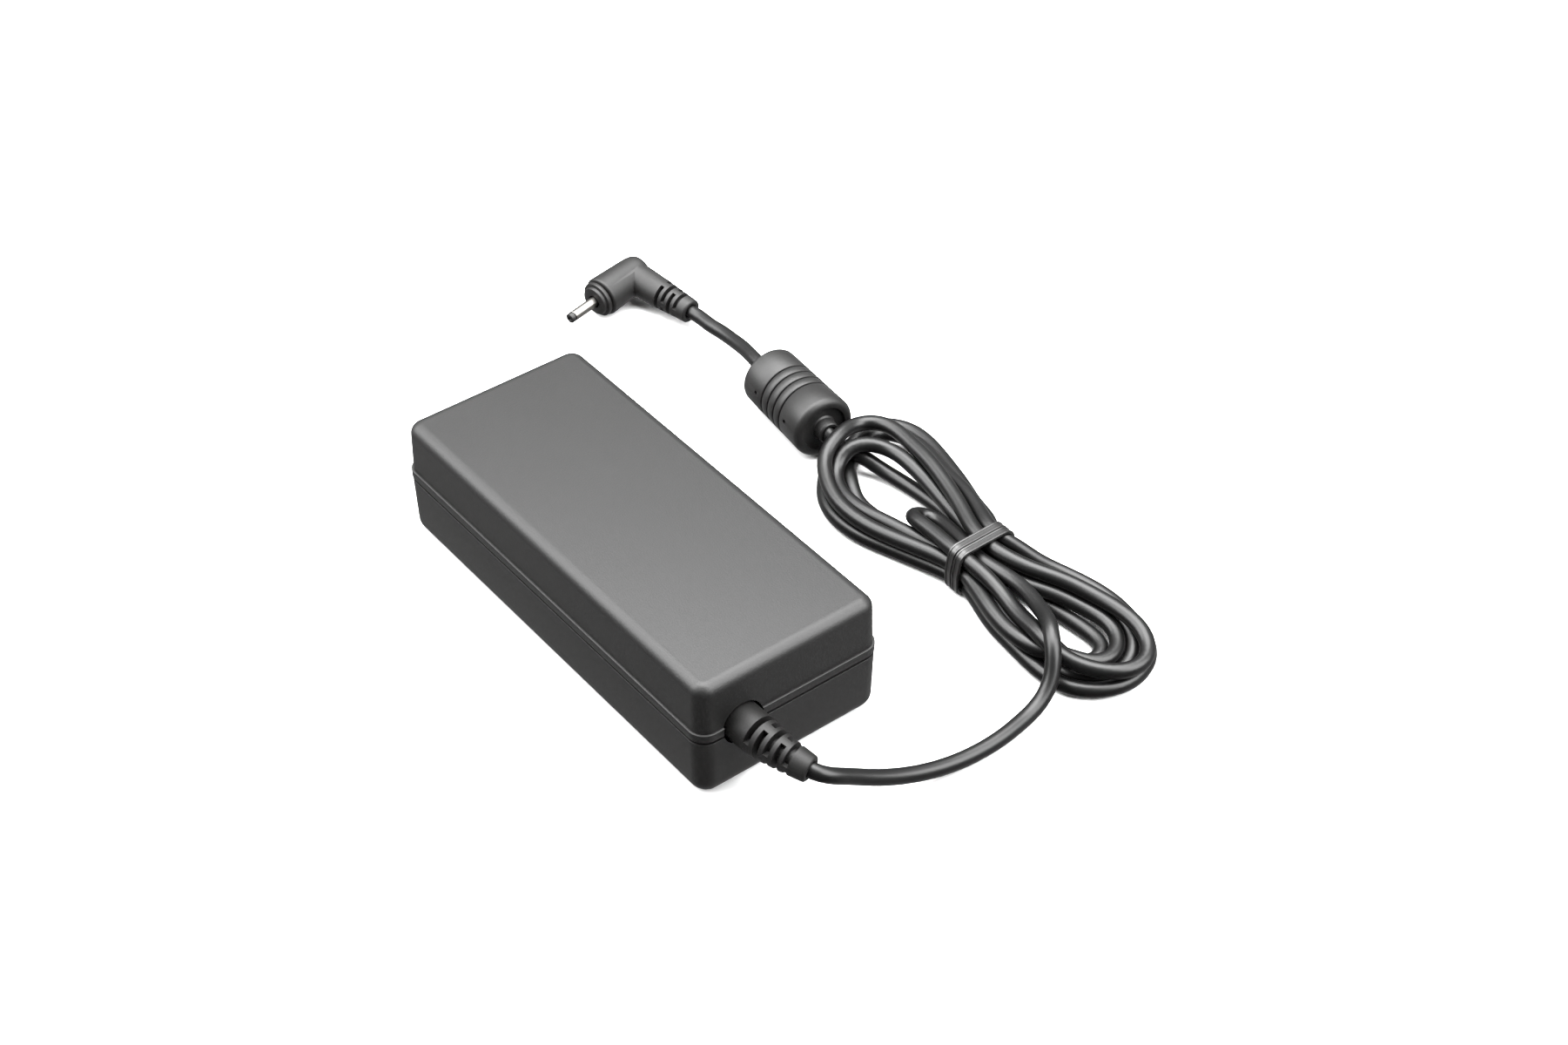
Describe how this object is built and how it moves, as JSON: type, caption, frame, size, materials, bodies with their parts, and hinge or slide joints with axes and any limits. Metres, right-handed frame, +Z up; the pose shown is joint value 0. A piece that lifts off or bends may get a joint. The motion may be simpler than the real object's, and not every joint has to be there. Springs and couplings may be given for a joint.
{
  "type": "laptop power adapter",
  "caption": "Charcoal laptop power adapter brick with a rounded case, strain relief and a tied black cord carrying a ferrite bead and a right-angle barrel plug",
  "frame": {"origin": "bottom centre of the adapter case, on the surface it rests on", "axes": "+X along the case to the cord end, +Y to the side where the tied cord lies, +Z up"},
  "size_m": [0.184, 0.1088, 0.0293],
  "materials": {
    "case_plastic": "fine grained charcoal",
    "black_plastic": "satin black",
    "cord_jacket": "soft satin black",
    "label_film": "blank grey film",
    "plated": "bright nickel plate",
    "aluminium": "mill finish",
    "ferrite": "dull sintered",
    "board": "green solder mask",
    "copper": "enamelled copper wire",
    "yellow_tape": "yellow tape or moulding",
    "sleeve_black": "black sleeve or moulding",
    "ceramic_blue": "blue dipped",
    "ceramic_green": "green dipped",
    "film": "pale film or sleeve",
    "wire_red": "red insulation",
    "wire_black": "black insulation"
  },
  "bodies": {
    "root": {"top_cover": "case_plastic", "bottom_cover": "case_plastic", "rating_label": "label_film", "ac_inlet": "black_plastic", "inlet_pin_line": "plated", "inlet_pin_neutral": "plated", "inlet_pin_earth": "plated", "inlet_wire_line": "wire_black", "inlet_wire_neutral": "film", "inlet_wire_earth": "ceramic_green", "bottom_heat_spreader": "aluminium", "top_heat_spreader": "aluminium", "insulating_sheet": "film", "pcb": "board", "fuse": "film", "thermistor": "ceramic_green", "x_capacitor": "yellow_tape", "choke_core": "ferrite", "choke_winding_a": "copper", "choke_winding_b": "copper", "bridge_rectifier": "sleeve_black", "bulk_capacitor": "sleeve_black", "transformer_core": "ferrite", "transformer_bobbin": "black_plastic", "transformer_winding": "yellow_tape", "mosfet": "sleeve_black", "primary_heatsink": "aluminium", "primary_heatsink_screw": "plated", "secondary_rectifier": "sleeve_black", "secondary_heatsink": "aluminium", "secondary_heatsink_screw": "plated", "output_capacitor_1": "sleeve_black", "output_capacitor_2": "sleeve_black", "inductor_core": "ferrite", "inductor_winding": "copper", "y_capacitor": "ceramic_blue", "optocoupler": "sleeve_black", "controller_ic": "sleeve_black", "dc_wire_positive": "wire_red", "dc_wire_negative": "wire_black", "strain_relief": "black_plastic", "cord_lead": "cord_jacket", "cord_hank": "cord_jacket", "cord_tie": "black_plastic", "cord_tail": "cord_jacket", "ferrite_jacket": "black_plastic", "ferrite_core": "ferrite", "plug_body": "black_plastic", "plug_collar": "black_plastic", "plug_barrel": "plated", "plug_insulator": "black_plastic", "plug_contact": "plated"}
  },
  "joints": []
}
